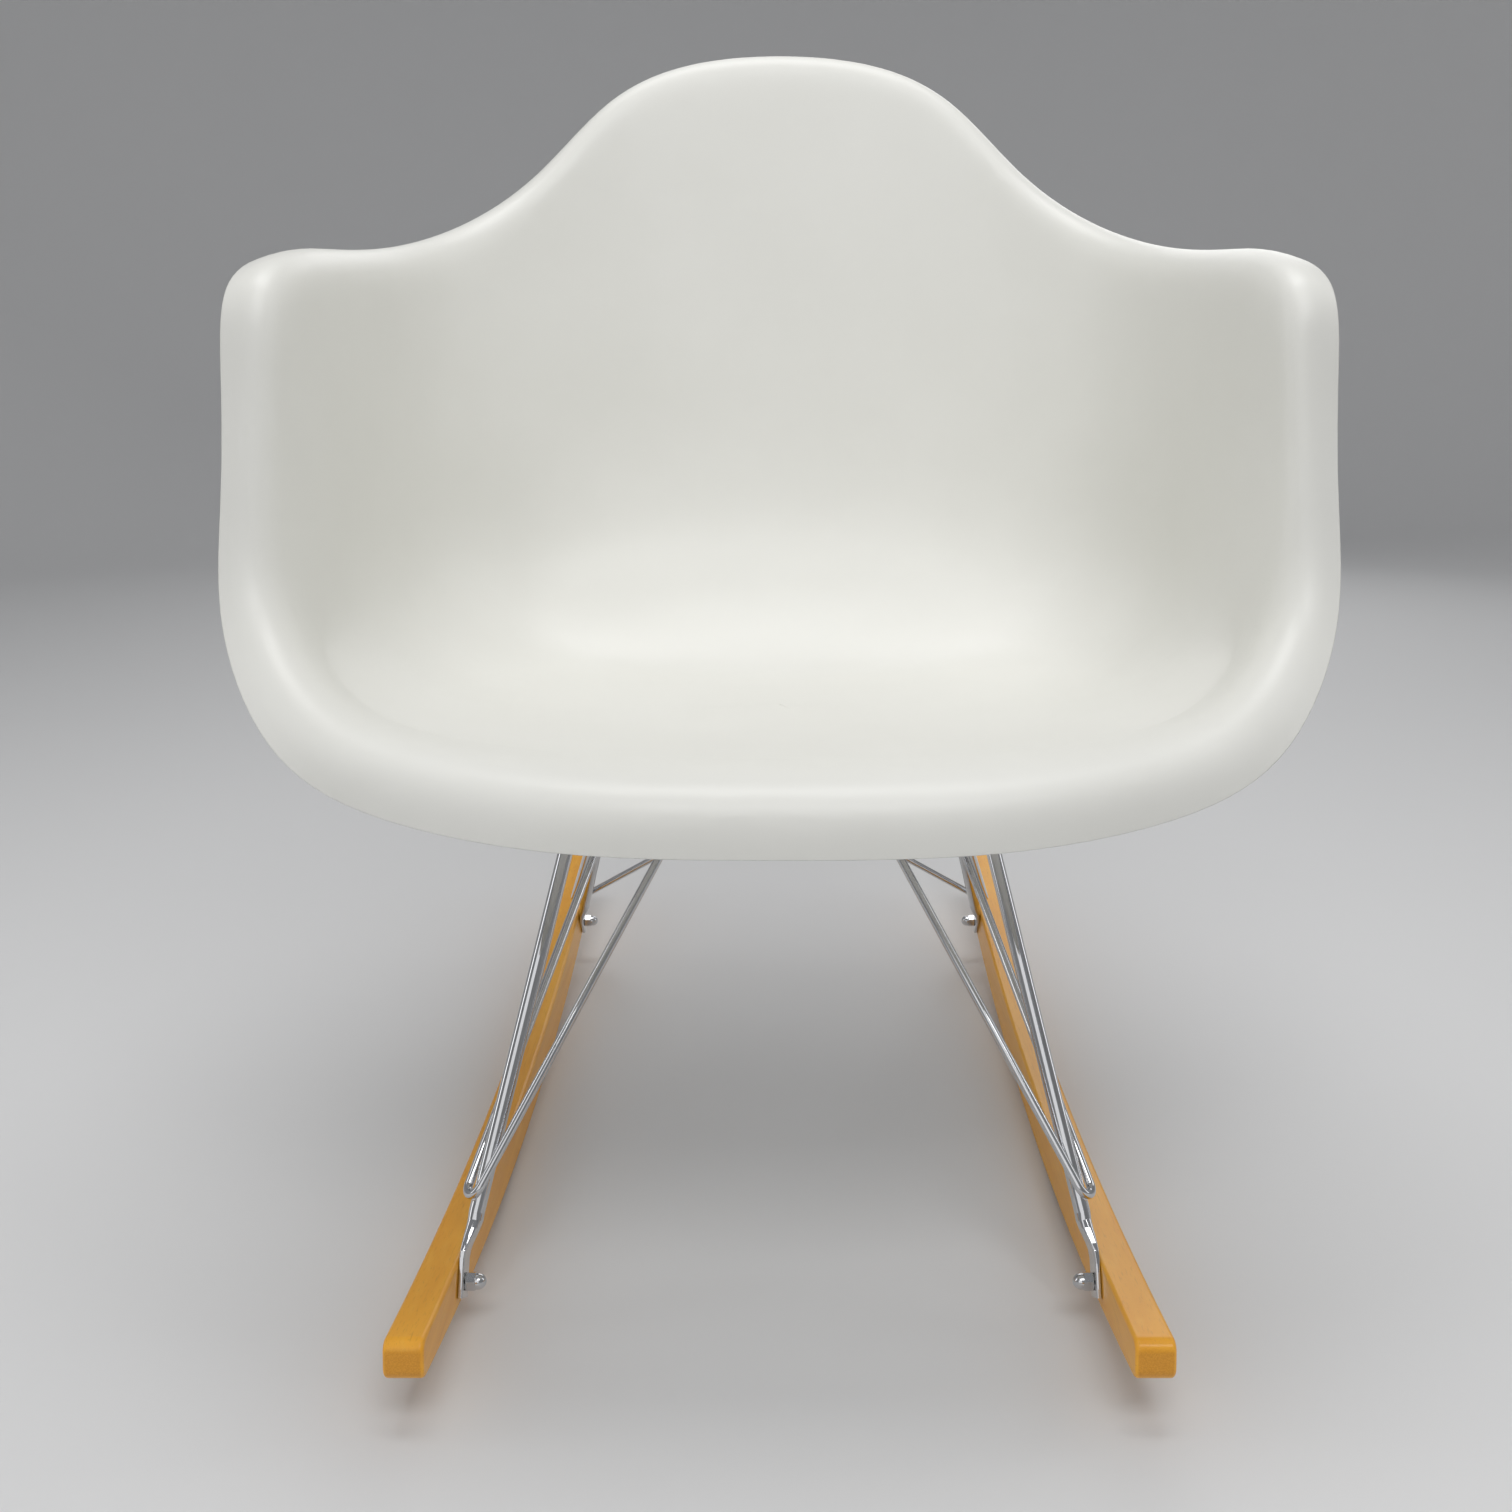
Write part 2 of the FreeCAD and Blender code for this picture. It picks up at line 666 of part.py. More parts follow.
# Stations round the rim from the front middle over the sitter's left to the back middle.
# Each has the corner where seat and wall would meet, the corner where wall and rolled
# edge would meet, how far the bend at the knee reaches, how far the roll reaches back down
# the wall, and the length and inward tuck of the roll. The crest is rounded over a share of
# the stretch on each side of it.
CREST_ROUNDING = 0.38
SHELL_STATIONS = [
    # knee                crest            bend  ease  roll  tuck
    ((0, -262, 347), (0, -392, 380), 34, 80, 47, 14),
    ((88, -256, 347), (106, -388, 381), 34, 78, 46, 14),
    ((166, -238, 348), (198, -358, 387), 38, 66, 43, 13),
    ((222, -206, 350), (247, -316, 402), 46, 50, 39, 12),
    ((250, -180, 351), (280, -264, 440), 50, 42, 32, 10),
    ((259, -160, 350), (284, -246, 498), 50, 40, 27, 10),
    ((260, -142, 348), (281, -236, 560), 50, 40, 28, 12),
    ((260, -122, 346), (275, -219, 610), 50, 40, 31, 17),
    ((260, -90, 345), (269, -156, 630), 50, 40, 33, 20),
    ((256, -52, 343), (265, -80, 633), 52, 40, 33, 20),
    ((240, -8, 341), (249, 4, 636), 56, 38, 31, 16),
    ((206, 28, 339), (216, 65, 652), 60, 35, 27, 12),
    ((158, 49, 337), (172, 106, 690), 66, 32, 25, 10),
    ((108, 61, 336), (125, 133, 741), 70, 30, 24, 8),
    ((56, 68, 335), (67, 149, 769), 72, 30, 24, 8),
    ((0, 70, 335), (0, 154, 776), 72, 30, 24, 8),
]


def station_row(station):
    """Control points of the sitting surface from the seat's middle to the wall's crest."""
    knee, crest, bend, ease = V(*station[0]), V(*station[1]), station[2], station[3]
    centre = V(0, size("seat_centre_y"), size("seat_centre_height"))
    bend_start = knee + (centre - knee).normalize() * bend
    wall = (crest - knee).normalize()
    bend_end = knee + wall * bend
    wall_end = crest - wall * ease
    seat = bend_start - centre
    return [
        centre,
        centre + V(seat.x, seat.y, 0) * 0.30,
        centre + V(seat.x * 0.65, seat.y * 0.65, seat.z * 0.35),
        bend_start,
        bend_end,
        bend_end + (wall_end - bend_end) * 0.34,
        bend_end + (wall_end - bend_end) * 0.68,
        wall_end,
        crest,
    ]


def add_roll(rows):
    """Extend each station over the rolled edge, and round its crest between two points."""
    count = len(rows)
    ends = []
    for index, row in enumerate(rows):
        station = SHELL_STATIONS[min(index, count - index)]
        roll, tuck = station[4], math.radians(station[5])
        ahead, behind = rows[(index + 1) % count][-1], rows[index - 1][-1]
        along = (ahead - behind).normalize()
        crest, wall_end = row[-1], row[-2]
        outwards = (crest - wall_end).normalize()
        under = along.cross(outwards).normalize()
        edge = crest + under * roll * math.cos(tuck) - outwards * roll * math.sin(tuck)
        before = crest + (wall_end - crest) * CREST_ROUNDING
        after = crest + (edge - crest) * CREST_ROUNDING
        ends.append([before, after, edge])
    for row, end in zip(rows, ends):
        row[-1:] = end


def underside(rows, wall):
    """The same control net moved out by the wall thickness, mitred at its corners."""
    count = len(rows)
    result = []
    for index, row in enumerate(rows):
        ahead, behind = rows[(index + 1) % count], rows[index - 1]
        moved = [row[0] - V(0, 0, wall)]
        for level in range(1, len(row)):
            along = (ahead[level] - behind[level]).normalize()
            arriving = (row[level] - row[level - 1]).normalize()
            leaving = (row[min(level + 1, len(row) - 1)] - row[min(level, len(row) - 2)]).normalize()
            first, second = along.cross(arriving).normalize(), along.cross(leaving).normalize()
            normal = (first + second).normalize()
            moved.append(row[level] + normal * (wall / max(0.6, normal.dot(first))))
        result.append(moved)
    return result


def closed_poles(points):
    """Poles of the closed uniform cubic spline that passes through the points."""
    poles = [V(point) for point in points]
    count = len(points)
    for _ in range(40):
        for index in range(count):
            neighbours = poles[index - 1] + poles[(index + 1) % count]
            poles[index] = (points[index] * 6 - neighbours) * 0.25
    return poles


def skin_face(net, degree):
    """A face over rows of poles: open from row to row, closed round the rim."""
    spans, columns = len(net) - degree, len(net[0])
    surface = Part.BSplineSurface()
    surface.buildFromPolesMultsKnots(
        net,
        [degree + 1] + [1] * (spans - 1) + [degree + 1], [1] * (columns + 1),
        list(range(spans + 1)), list(range(columns + 1)),
        False, True, degree, 3)
    return surface.toShape()


def shell_faces():
    """The sitting side, the cut edge and the underside."""
    half = [station_row(station) for station in SHELL_STATIONS]
    rows = half + [[flip_x(point) for point in row] for row in half[-2:0:-1]]
    add_roll(rows)
    below = underside(rows, size("shell_wall"))
    upper, lower = [[closed_poles([row[level] for row in side]) for level in range(len(side[0]))]
                    for side in (rows, below)]
    return [skin_face(upper, 3), skin_face([upper[-1], lower[-1]], 1), skin_face(lower, 3)]


def build_shell():
    """The skin as a solid, with four drafted bosses that stand on the cross bars."""
    solid = Part.Solid(Part.Shell(shell_faces()))
    if solid.Volume < 0:
        solid.reverse()
    blank = doc.addObject("Part::Feature", "shell_blank")
    blank.Shape = solid
    bosses, holes = [], []
    for end in ("front", "rear"):
        for side in (1, -1):
            seat = V(side * size("seat_screw_x"), size(end + "_bar_y"), bar_top())
            probe = Part.makeLine(seat, seat + V(0, 0, 100)).common(solid)
            boss = cone("boss_%s_%d" % (end, side), "$boss_end_diameter / 2",
                        "$boss_root_diameter / 2", "%f" % (probe.BoundBox.Center.z - seat.z))
            hole = cylinder("boss_hole_%s_%d" % (end, side), "$insert_diameter / 2", "$insert_length",
                            "%f" % seat.z)
            boss.Placement.Base = hole.Placement.Base = seat
            bosses.append(boss)
            holes.append(hole)
    moulding = doc.addObject("Part::MultiFuse", "shell_moulding")
    moulding.Shapes = [blank] + bosses
    doc.recompute()
    return keep(cut_from(moulding, holes, "shell"), "shell")


def check_and_export():
    doc.recompute()
    for item in doc.Objects:
        if "Invalid" in item.State or "Error" in item.State:
            raise RuntimeError("%s failed: %s" % (item.Name, item.State))
    for label, item in nodes.items():
        if item.Shape.isNull() or not item.Shape.isValid():
            raise RuntimeError("%s has no valid shape" % label)
    os.makedirs("parts", exist_ok=True)
    for label, item in nodes.items():
        item.Shape.exportStep("parts/%s.step" % label)
        box = item.Shape.BoundBox
        print("%-20s solids %2d volume %9.0f  x %6.1f %6.1f  y %6.1f %6.1f  z %6.1f %6.1f" % (
            label, len(item.Shape.Solids), item.Shape.Volume,
            box.XMin, box.XMax, box.YMin, box.YMax, box.ZMin, box.ZMax))


def settle(pieces):
    """Roll the whole chair on its runners to where it rests, with its middle over the origin."""
    angle = size("rest_roll")
    radius = size("runner_bottom_radius")
    centre = V(0, 0, radius)
    turn = FreeCAD.Placement(V(0, 0, 0), FreeCAD.Rotation(V(1, 0, 0), angle), centre)
    forward = V(0, size("rest_shift"), 0)
    shift = FreeCAD.Placement(forward, FreeCAD.Rotation())
    for piece in pieces:
        piece.Placement = shift.multiply(turn).multiply(piece.Placement)
    doc.recompute()


runner = build_runner()
legs = [build_leg("front"), build_leg("rear")]
rail = build_side_rail()
bars = [build_bar("front"), build_bar("rear")]
block = trimming_block()
front_tools = [block, leg_cutter("front_left_cutter", legs[0].Shape)]
rear_tools = [block, leg_cutter("rear_left_cutter", legs[1].Shape)]
right_tools = [block, leg_cutter("rear_right_cutter", legs[1].Shape.mirror(V(0, 0, 0), V(1, 0, 0)))]
braces = [build_brace("front", front_tools), build_brace("rear", rear_tools)]
front_tie = build_tie("front_tie_left", tie_start("front", HAIRPINS["front"][2]),
                      HAIRPINS["front"][2], front_tools)
build_tie("rear_tie_left", tie_start("rear", HAIRPINS["rear"][2]), HAIRPINS["rear"][2], rear_tools)
right_start = tie_start("rear", flip_x(REAR_TIE_END_RIGHT))
build_tie("rear_tie_right", flip_x(right_start), REAR_TIE_END_RIGHT, right_tools)
build_shell()
build_fasteners()
settle(nodes.values())
for piece in [runner, rail, front_tie] + legs + braces:
    mirrored_copy(piece, piece.Label.replace("_left", "_right"))
check_and_export()
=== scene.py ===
# %% [markdown]
# A moulded plastic rocking chair.
# The chair is a white plastic armchair shell on a chromed wire base, and the base is
# bolted to two curved wooden runners. Its measured solids are loaded first and stay fixed.
# This lesson gives every surface the finish of the real chair, adds the small beads of
# metal where the rods are welded, and then sets up a soft studio.

# %% Load the measured chair
import bpy
import bmesh
import json
import math
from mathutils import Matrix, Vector, noise
from mathutils.bvhtree import BVHTree


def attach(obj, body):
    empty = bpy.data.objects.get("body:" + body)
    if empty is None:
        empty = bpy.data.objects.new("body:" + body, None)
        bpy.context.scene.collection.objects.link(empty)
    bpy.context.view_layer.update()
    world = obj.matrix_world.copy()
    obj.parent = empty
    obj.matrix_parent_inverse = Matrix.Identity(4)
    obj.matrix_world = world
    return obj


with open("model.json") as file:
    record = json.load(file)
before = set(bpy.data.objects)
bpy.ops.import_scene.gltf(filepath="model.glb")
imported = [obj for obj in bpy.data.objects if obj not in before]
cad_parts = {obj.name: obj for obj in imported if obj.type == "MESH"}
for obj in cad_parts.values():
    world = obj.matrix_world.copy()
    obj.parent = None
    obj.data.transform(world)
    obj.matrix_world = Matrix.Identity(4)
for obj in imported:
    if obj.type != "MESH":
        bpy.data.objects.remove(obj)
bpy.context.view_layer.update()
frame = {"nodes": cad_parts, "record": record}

# %% [markdown]
# A finish could be a photograph wrapped round the chair, but a picture blurs close up and
# shows its seams. Here every finish is a tree of nodes, which holds up from any distance.
# Each one starts the same way: a Principled shader and the object's own coordinates, in
# metres. A small helper that adds one node and wires its inputs keeps the later cells
# short. It takes sockets as well as plain numbers.


# %% Helpers for finishes
def new_finish(name):
    """A material with its Principled shader and a source of object coordinates."""
    finish = bpy.data.materials.new(name)
    finish.use_nodes = True
    tree = finish.node_tree
    shader = tree.nodes["Principled BSDF"]
    place = tree.nodes.new("ShaderNodeTexCoord").outputs["Object"]
    return finish, tree, shader, place


def add_node(tree, kind, settings=None, **inputs):
    """Add a node. Inputs are numbers or the sockets that feed them."""
    node = tree.nodes.new("ShaderNode" + kind)
    for name, value in (settings or {}).items():
        setattr(node, name, value)
    for name, value in inputs.items():
        socket = node.inputs[name.replace("_", " ")]
        if isinstance(value, bpy.types.NodeSocket):
            tree.links.new(value, socket)
        else:
            socket.default_value = value
    return node


def blend_colours(tree, amount, first, second):
    """Mix two colours. The amount is a socket from 0 to 1."""
    node = tree.nodes.new("ShaderNodeMix")
    node.data_type = "RGBA"
    tree.links.new(amount, node.inputs["Factor"])
    for socket, value in ((node.inputs["A"], first), (node.inputs["B"], second)):
        if isinstance(value, bpy.types.NodeSocket):
            tree.links.new(value, socket)
        else:
            socket.default_value = (*value, 1)
    return node.outputs["Result"]


def spread(tree, value, low, high, new_low, new_high):
    """Stretch a value from one range to another and stop at its ends."""
    node = add_node(tree, "MapRange", Value=value)
    for name, number in (("From Min", low), ("From Max", high),
                         ("To Min", new_low), ("To Max", new_high)):
        node.inputs[name].default_value = number
    return node.outputs["Result"]


def bend_surface(tree, shader, height, strength, distance, **base_normal):
    """Let a height tilt the surface a little, without moving any point of it."""
    bump = add_node(tree, "Bump", Height=height, Strength=strength, Distance=distance,
                    **base_normal)
    tree.links.new(bump.outputs["Normal"], shader.inputs["Normal"])


print("helpers", [helper.__name__ for helper in
                  (new_finish, add_node, blend_colours, spread, bend_surface)])

# %% [markdown]
# The shell is injection moulded from coloured plastic with a fine satin texture. The
# texture is far too small to see as bumps, but it spreads the highlight on the bend of the
# seat. One even roughness could stand for it, but real plastic is never that even. So two
# noises share the work: a very fine one bends the surface a little, and a broad one changes
# the tint and the roughness by a few percent, as handling does. The cut edge of the rim is
# sharp in the measured solid, so a Bevel node rounds its normals by under a millimetre.


# %% Satin white plastic
def make_shell_plastic():
    """White plastic with a satin texture and an eased edge."""
    greyer_white, brighter_white = (0.770, 0.766, 0.722), (0.796, 0.792, 0.750)
    smoothest, roughest = 0.37, 0.45
    edge_radius = 0.0009
    finish, tree, shader, place = new_finish("satin_white_plastic")
    grain = add_node(tree, "TexNoise", Vector=place, Scale=1900.0, Detail=2.0).outputs["Fac"]
    wear = add_node(tree, "TexNoise", Vector=place, Scale=7.0, Detail=4.0).outputs["Fac"]
    tint = blend_colours(tree, spread(tree, wear, 0.35, 0.65, 0, 1),
                         greyer_white, brighter_white)
    tree.links.new(tint, shader.inputs["Base Color"])
    tree.links.new(spread(tree, wear, 0.3, 0.7, smoothest, roughest),
                   shader.inputs["Roughness"])
    eased = add_node(tree, "Bevel", {"samples": 4}, Radius=edge_radius)
    bend_surface(tree, shader, grain, 0.12, 0.00012, Normal=eased.outputs["Normal"])
    shader.inputs["IOR"].default_value = 1.49
    return finish


shell_plastic = make_shell_plastic()
print("finish", shell_plastic.name)

# %% [markdown]
# The rods are steel with bright chrome plating. A perfect mirror would look drawn, because
# plating follows every fault of the steel below it. So a slow wave in the surface makes the
# long reflections waver slightly, and the roughness is never quite zero. Chrome gives back
# little more than half of the light, so its base colour is a middle grey and its contrast
# comes from what it mirrors. The nuts and screws are plated less brightly, and the inserts
# in the seat are plain brass, from the same helper.


# %% Bright chrome, plated steel and brass
def make_metal(name, colour, smoothest, roughest):
    """A metal with a faint haze and a slow wave."""
    finish, tree, shader, place = new_finish(name)
    shader.inputs["Base Color"].default_value = (*colour, 1)
    shader.inputs["Metallic"].default_value = 1.0
    haze = add_node(tree, "TexNoise", Vector=place, Scale=30.0, Detail=2.0).outputs["Fac"]
    tree.links.new(spread(tree, haze, 0.3, 0.7, smoothest, roughest),
                   shader.inputs["Roughness"])
    wave = add_node(tree, "TexNoise", Vector=place, Scale=42.0, Detail=0.0).outputs["Fac"]
    bend_surface(tree, shader, wave, 0.03, 0.0004)
    return finish


chrome_grey, brass_yellow = (0.60, 0.605, 0.62), (0.78, 0.57, 0.24)
rod_chrome = make_metal("bright_chrome", chrome_grey, 0.02, 0.05)
fastener_chrome = make_metal("plated_steel", chrome_grey, 0.08, 0.15)
brass = make_metal("plain_brass", brass_yellow, 0.18, 0.30)
print("finishes", rod_chrome.name, fastener_chrome.name, brass.name)

# %% [markdown]
# The runners are hardwood with a clear honey lacquer. Wood grain is growth rings cut
# lengthwise. Bands from a Wave node could draw them, but they come out too regular. Noise
# that is stretched along the runner has the right drift: a Mapping node squeezes the Y
# direction before the noise reads it. Short silky flecks and fine dark pores are the same
# idea at two smaller sizes. The sawn tips show end grain, which drinks more lacquer and is
# darker, and the surface's own direction tells the shader where they are. The lacquer is
# the shader's coat, a second smooth surface over the wood.


# %% Honey lacquered wood
def stretched_noise(tree, place, across, along, detail, distortion=0.0):
    """Noise drawn out along the runner. The two scales are repeats in a metre."""
    along_grain = add_node(tree, "Mapping", Vector=place)
    along_grain.inputs["Scale"].default_value = (across, along, across)
    return add_node(tree, "TexNoise", Vector=along_grain.outputs["Vector"], Scale=1.0,
                    Detail=detail, Distortion=distortion).outputs["Fac"]


def facing_the_ends(tree):
    """1 where the surface looks along the runner, at its sawn tips, and 0 on its sides."""
    direction = tree.nodes.new("ShaderNodeTexCoord").outputs["Normal"]
    split = add_node(tree, "SeparateXYZ", Vector=direction)
    either_way = add_node(tree, "Math", {"operation": "ABSOLUTE"})
    tree.links.new(split.outputs["Y"], either_way.inputs[0])
    return spread(tree, either_way.outputs["Value"], 0.80, 0.97, 0, 1)


def make_runner_wood():
    """Lacquered hardwood with growth lines, flecks, pores and end grain."""
    dark_growth, light_growth = (0.800, 0.345, 0.021), (0.910, 0.440, 0.035)
    silky_fleck, dark_pore = (0.900, 0.480, 0.055), (0.520, 0.220, 0.020)
    dark_end, light_end = (0.640, 0.270, 0.018), (0.720, 0.322, 0.026)
    finish, tree, shader, place = new_finish("honey_lacquered_wood")
    growth = stretched_noise(tree, place, 46.0, 2.2, 3.0, 0.6)
    flecks = stretched_noise(tree, place, 210.0, 42.0, 2.0)
    pores = stretched_noise(tree, place, 1100.0, 34.0, 2.0)
    body = blend_colours(tree, spread(tree, growth, 0.30, 0.70, 0, 1),
                         dark_growth, light_growth)
    silky = blend_colours(tree, spread(tree, flecks, 0.52, 0.72, 0, 0.35), body, silky_fleck)
    grained = blend_colours(tree, spread(tree, pores, 0.58, 0.74, 0, 0.40), silky, dark_pore)
    speckle = add_node(tree, "TexNoise", Vector=place, Scale=1300.0, Detail=2.0).outputs["Fac"]
    end_grain = blend_colours(tree, spread(tree, speckle, 0.40, 0.62, 0, 1),
                              dark_end, light_end)
    coloured = blend_colours(tree, facing_the_ends(tree), grained, end_grain)
    tree.links.new(coloured, shader.inputs["Base Color"])
    for socket_name, value in (("Roughness", 0.46), ("Specular IOR Level", 0.3),
                               ("Coat Weight", 0.35), ("Coat Roughness", 0.12)):
        shader.inputs[socket_name].default_value = value
    bend_surface(tree, shader, pores, 0.10, 0.0002)
    return finish


runner_wood = make_runner_wood()
print("finish", runner_wood.name)

# %% [markdown]
# Each measured solid keeps its shape and takes its finish by the name of its material
# slot. The finishes could be handed out piece by piece, but the slots are already written
# in the chair's record, so one short table does it.

# %% Dress the measured solids
finish_of_slot = {
    "shell_plastic": shell_plastic,
    "runner_wood": runner_wood,
    "frame_chrome": rod_chrome,
    "fastener_chrome": fastener_chrome,
    "insert_brass": brass,
}
slot_of_node = {entry["node"]: entry["material_slot"] for entry in frame["record"]["subparts"]}
for node_name, node_object in frame["nodes"].items():
    node_object.data.materials.clear()
    node_object.data.materials.append(finish_of_slot[slot_of_node[node_name]])
print("dressed", len(frame["nodes"]), "solids")

# %% [markdown]
# The thin rods are welded to the flat bars at their upper ends, and to the legs where they
# hook round them. The places of the welds could be typed in, but they would be wrong as
# soon as a rod moved. So they are read from the measured solids: the ring of points at a
# rod's top end, and the points of a hook that come nearest to its leg.

# %% Find the welds
sides = ("left", "right")
bar_rods = [kind + side for kind in ("front_brace_", "rear_brace_", "front_tie_", "rear_tie_")
            for side in sides]
hook_legs = {"front_brace_" + side: "front_leg_" + side for side in sides}
hook_legs.update({"rear_brace_" + side: "rear_leg_" + side for side in sides})
rod_end_depth = 0.0006
straight_run_drop = 0.06
weld_reach = 0.0008


def middle(points):
    """The mean of some points."""
    return sum(points, Vector()) / len(points)


def top_joint(rod_name):
    """The middle of a rod's upper end, and the direction in which the rod arrives there."""
    points = [vertex.co for vertex in frame["nodes"][rod_name].data.vertices]
    highest = max(point.z for point in points)
    joint = middle([point for point in points if point.z > highest - rod_end_depth])
    lower_part = [point for point in points if point.z < highest - straight_run_drop]
    return joint, (joint - middle(lower_part)).normalized()


def hook_contact(brace_name, leg_name):
    """The points of a brace that touch its leg."""
    leg_mesh = frame["nodes"][leg_name].data
    leg_surface = BVHTree.FromPolygons([vertex.co for vertex in leg_mesh.vertices],
                                       [face.vertices for face in leg_mesh.polygons])
    near = []
    for vertex in frame["nodes"][brace_name].data.vertices:
        distance = leg_surface.find_nearest(vertex.co)[3]
        if distance < weld_reach:
            near.append(vertex.co.copy())
    return near


hook_contacts = {brace: hook_contact(brace, leg) for brace, leg in hook_legs.items()}
for brace_name, contact in hook_contacts.items():
    print(brace_name, "touches its leg at", len(contact), "points")

# %% [markdown]
# A weld bead is a small ring or pool of metal with the ripples of the torch, plated over
# with the rest. A bump in the chrome could suggest the ripples, but the bead also fills the
# corner between two rods, and only geometry does that. Every bead is shaped in a bmesh of
# its own, so that the helper below can work round the bead's own axis. Then it joins the
# piece that holds all beads of its kind.

# %% Ripple, join and finish a bead
ripples_round = 11
pits_in_a_metre = 700


def roughen(bead, amount, seed):
    """Ripples round the bead's axis and a little noise, along each point's way outwards."""
    for vertex in bead.verts:
        angle = math.atan2(vertex.co.y, vertex.co.x)
        ripple = 0.5 * math.sin(ripples_round * angle + seed)
        pit = noise.noise(vertex.co * pits_in_a_metre + Vector((seed, 0, 0)))
        vertex.co += vertex.co.normalized() * amount * (ripple + pit)
    bmesh.ops.smooth_vert(bead, verts=bead.verts, factor=0.3)


def join(form, bead):
    """Add one finished bead to the piece that holds them all."""
    mesh = bpy.data.meshes.new("one_bead")
    bead.to_mesh(mesh)
    bead.free()
    form.from_mesh(mesh)
    bpy.data.meshes.remove(mesh)


def finish_beads(form, name):
    """Turn the joined beads into a chromed piece that rides with the chair."""
    mesh = bpy.data.meshes.new(name)
    bmesh.ops.recalc_face_normals(form, faces=form.faces)
    for face in form.faces:
        face.smooth = True
    form.to_mesh(mesh)
    form.free()
    beads = bpy.data.objects.new(name, mesh)
    bpy.context.scene.collection.objects.link(beads)
    beads.data.materials.append(rod_chrome)
    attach(beads, "root")
    return beads


print("ripples round a bead", ripples_round)

# %% [markdown]
# A ring bead is the fillet of weld round a rod where it meets the underside of a bar. A
# torus would bulge where a fillet is hollow. So the ring starts as a short cone that widens
# towards the bar, its sides are cut finely, and its waist is drawn in before it is rippled.

# %% Ring beads at the bars
rod_radius = 0.00275
ring_height = 0.0022
ring_radius_below, ring_radius_at_bar = rod_radius + 0.0003, rod_radius + 0.0021
ring_waist = 0.90
ring_ripple = 0.00016


def add_ring_bead(form, joint, seed):
    """A hollow fillet just below the joint."""
    bead = bmesh.new()
    bmesh.ops.create_cone(bead, cap_ends=True, segments=40, radius1=ring_radius_below,
                          radius2=ring_radius_at_bar, depth=ring_height)
    upright = [edge for edge in bead.edges
               if abs(edge.verts[0].co.z - edge.verts[1].co.z) > ring_height / 2]
    bmesh.ops.subdivide_edges(bead, edges=upright, cuts=3)
    for vertex in bead.verts:
        if abs(vertex.co.z) < ring_height * 0.49:
            vertex.co.xy *= ring_waist
    roughen(bead, ring_ripple, seed)
    bmesh.ops.translate(bead, verts=bead.verts, vec=joint - Vector((0, 0, ring_height / 2)))
    join(form, bead)


rings = bmesh.new()
for seed, rod_name in enumerate(bar_rods):
    add_ring_bead(rings, top_joint(rod_name)[0], seed)
bar_beads = finish_beads(rings, "weld_beads_at_bars")
print("ring beads", len(bar_rods), "faces", len(bar_beads.data.polygons))

# %% [markdown]
# At a hook the thin rod lies along the leg, and the weld is a small drawn-out pool between
# the two. It starts as a sphere, is stretched along the rod, rippled, and turned into the
# direction of the rod.

# %% Pools at the hooks
pool_half_size = (0.0021, 0.0021, 0.0052)
pool_ripple = 0.00018


def add_pool_bead(form, place, along, seed):
    """A pool of weld that fills the corner between two rods."""
    bead = bmesh.new()
    bmesh.ops.create_icosphere(bead, subdivisions=4, radius=1.0)
    bmesh.ops.scale(bead, verts=bead.verts, vec=pool_half_size)
    roughen(bead, pool_ripple, seed)
    turn = along.to_track_quat("Z", "Y").to_matrix()
    bmesh.ops.rotate(bead, verts=bead.verts, cent=(0, 0, 0), matrix=turn)
    bmesh.ops.translate(bead, verts=bead.verts, vec=place)
    join(form, bead)


pools = bmesh.new()
for seed, (brace_name, contact) in enumerate(hook_contacts.items()):
    add_pool_bead(pools, middle(contact), top_joint(brace_name)[1], seed)
hook_beads = finish_beads(pools, "weld_beads_at_hooks")
print("pools at hooks", len(hook_contacts), "faces", len(hook_beads.data.polygons))

# %% [markdown]
# A flat floor would end in a horizon behind the chair. A studio hangs a paper sweep
# instead, which curves up from the floor. A straight sweep shows its ends from the side, so
# this one is round: half of its section is drawn once, and bmesh spins it round the chair.


# %% Pale floor and backdrop
def make_sweep_floor():
    """A disc of floor that curves up into a wall all round."""
    reach, bend, top = 3.5, 1.3, 3.4
    angles = [math.radians(degrees) for degrees in range(9, 91, 9)]
    profile = [(0.0, 0.0), (reach * 0.5, 0.0), (reach, 0.0)]
    profile += [(reach + bend * math.sin(angle), bend - bend * math.cos(angle))
                for angle in angles]
    profile += [(reach + bend, top)]
    form = bmesh.new()
    corners = [form.verts.new((x, 0.0, z)) for x, z in profile]
    edges = [form.edges.new(pair) for pair in zip(corners, corners[1:])]
    bmesh.ops.spin(form, geom=corners + edges, cent=(0, 0, 0), axis=(0, 0, 1),
                   angle=2 * math.pi, steps=96, use_merge=True)
    bmesh.ops.remove_doubles(form, verts=form.verts, dist=0.0001)
    bmesh.ops.recalc_face_normals(form, faces=form.faces)
    if form.faces[0].normal.z < 0:
        bmesh.ops.reverse_faces(form, faces=form.faces)
    for face in form.faces:
        face.smooth = True
    mesh = bpy.data.meshes.new("studio_floor")
    form.to_mesh(mesh)
    form.free()
    sweep = bpy.data.objects.new("studio_floor", mesh)
    bpy.context.scene.collection.objects.link(sweep)
    return sweep


floor = make_sweep_floor()
floor_finish, _, floor_shader, _ = new_finish("pale_floor")
floor_shader.inputs["Base Color"].default_value = (0.72, 0.72, 0.72, 1)
floor_shader.inputs["Roughness"].default_value = 0.75
floor.data.materials.append(floor_finish)
print("floor faces", len(floor.data.polygons))

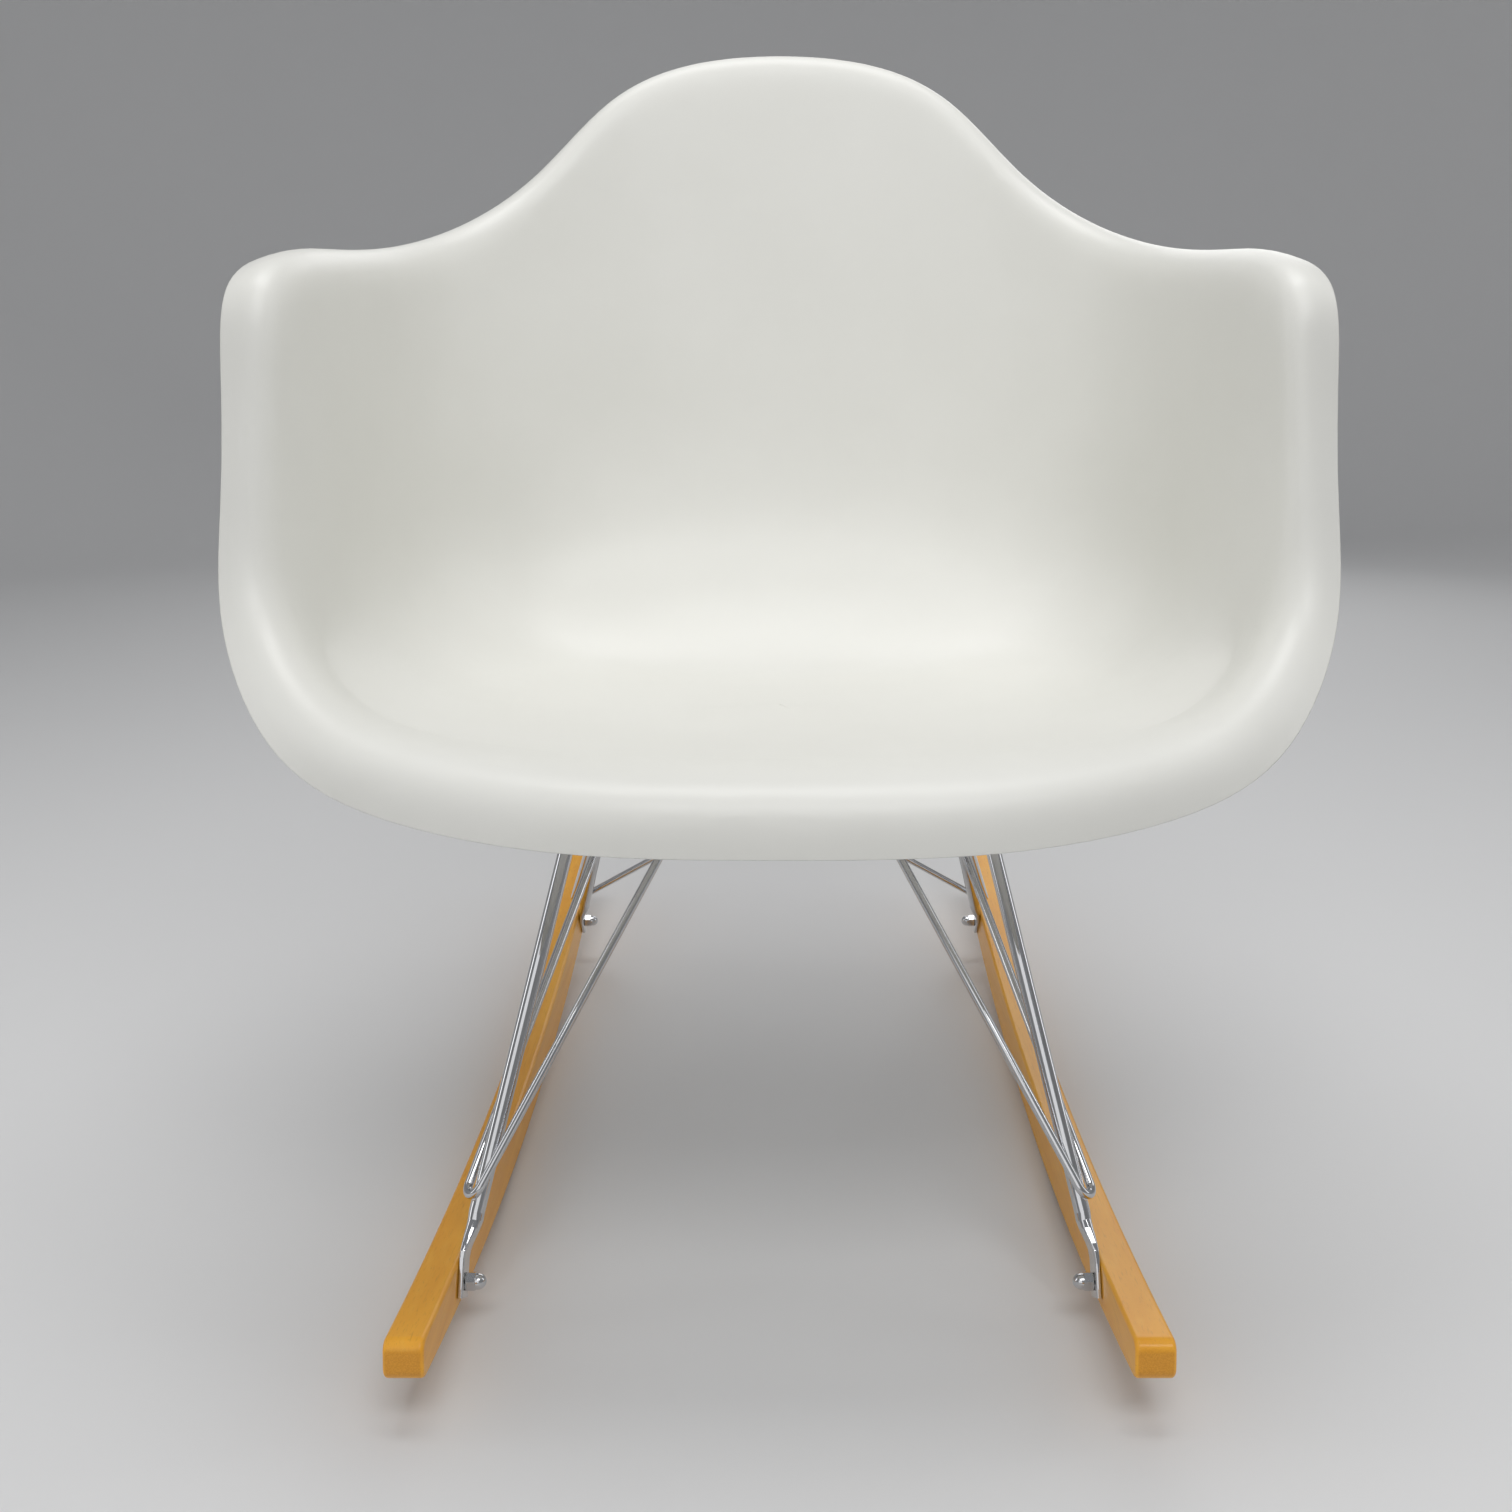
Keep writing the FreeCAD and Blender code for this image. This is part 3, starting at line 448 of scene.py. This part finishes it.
# %% [markdown]
# A bare bulb would put one hard glint on the shell. Large soft boxes give the broad
# highlights of a studio: one overhead for the bend of the seat, one high in front that
# reaches the runners, a broad fill from the camera's side and one from behind, and a strip
# on each side that draws a bright line down every chromed rod. The strips are named for the
# sides of the picture. The world adds a dim, slightly cool light from everywhere.

# %% Soft studio light
soft_boxes = {
    # place, the point that it faces, width, height and power in watts
    "overhead_box": ((0.0, -0.05, 2.4), (0.0, -0.1, 0.4), 1.3, 1.0, 17),
    "front_fill": ((-0.7, -3.0, 1.5), (0.0, 0.0, 0.45), 2.6, 2.0, 13),
    "high_front": ((0.2, -1.75, 2.3), (0.0, -0.3, 0.1), 1.6, 0.8, 18),
    "rear_fill": ((0.6, 2.9, 1.7), (0.0, 0.0, 0.45), 2.2, 1.6, 16),
    "left_strip": ((-2.2, -0.3, 1.1), (0.0, 0.0, 0.35), 0.5, 1.8, 5),
    "right_strip": ((2.2, 0.1, 1.2), (0.0, 0.0, 0.35), 0.5, 1.8, 5),
}


def add_soft_box(name, place, aim, width, height, power):
    """A rectangular lamp that faces a point."""
    lamp = bpy.data.lights.new(name, "AREA")
    lamp.shape = "RECTANGLE"
    lamp.size, lamp.size_y, lamp.energy = width, height, power
    holder = bpy.data.objects.new(name, lamp)
    holder.location = place
    holder.rotation_euler = (Vector(aim) - Vector(place)).to_track_quat("-Z", "Y").to_euler()
    bpy.context.scene.collection.objects.link(holder)


for box_name, settings in soft_boxes.items():
    add_soft_box(box_name, *settings)
world = bpy.data.worlds.new("studio_air")
world.use_nodes = True
world_light = world.node_tree.nodes["Background"]
world_light.inputs["Color"].default_value = (0.95, 0.965, 1.0, 1)
world_light.inputs["Strength"].default_value = 0.28
bpy.context.scene.world = world
bpy.context.scene.view_settings.view_transform = "Standard"
print("lamps", len(soft_boxes))

# %% [markdown]
# The camera stands in front of the chair, a little above the arms, and looks down at it.
# It could be moved about until the picture looked right. Instead its place and tilt were
# worked out from the ends of the runners and the outline of the shell, for a square frame
# with a field of view as wide as the distance: the lens is as long as the sensor is wide.

# %% Camera at the photograph's angle
sensor_width = 36.0
looking_down = 14.77
camera_data = bpy.data.cameras.new("viewpoint")
camera_data.sensor_width = sensor_width
camera_data.lens = sensor_width
camera_data.shift_x = -0.0156
camera = bpy.data.objects.new("viewpoint", camera_data)
camera.location = (0.0, -1.10066, 0.55694)
camera.rotation_euler = (math.radians(90 - looking_down), 0.0, 0.0)
bpy.context.scene.collection.objects.link(camera)
bpy.context.scene.camera = camera
print("camera at", tuple(camera.location))
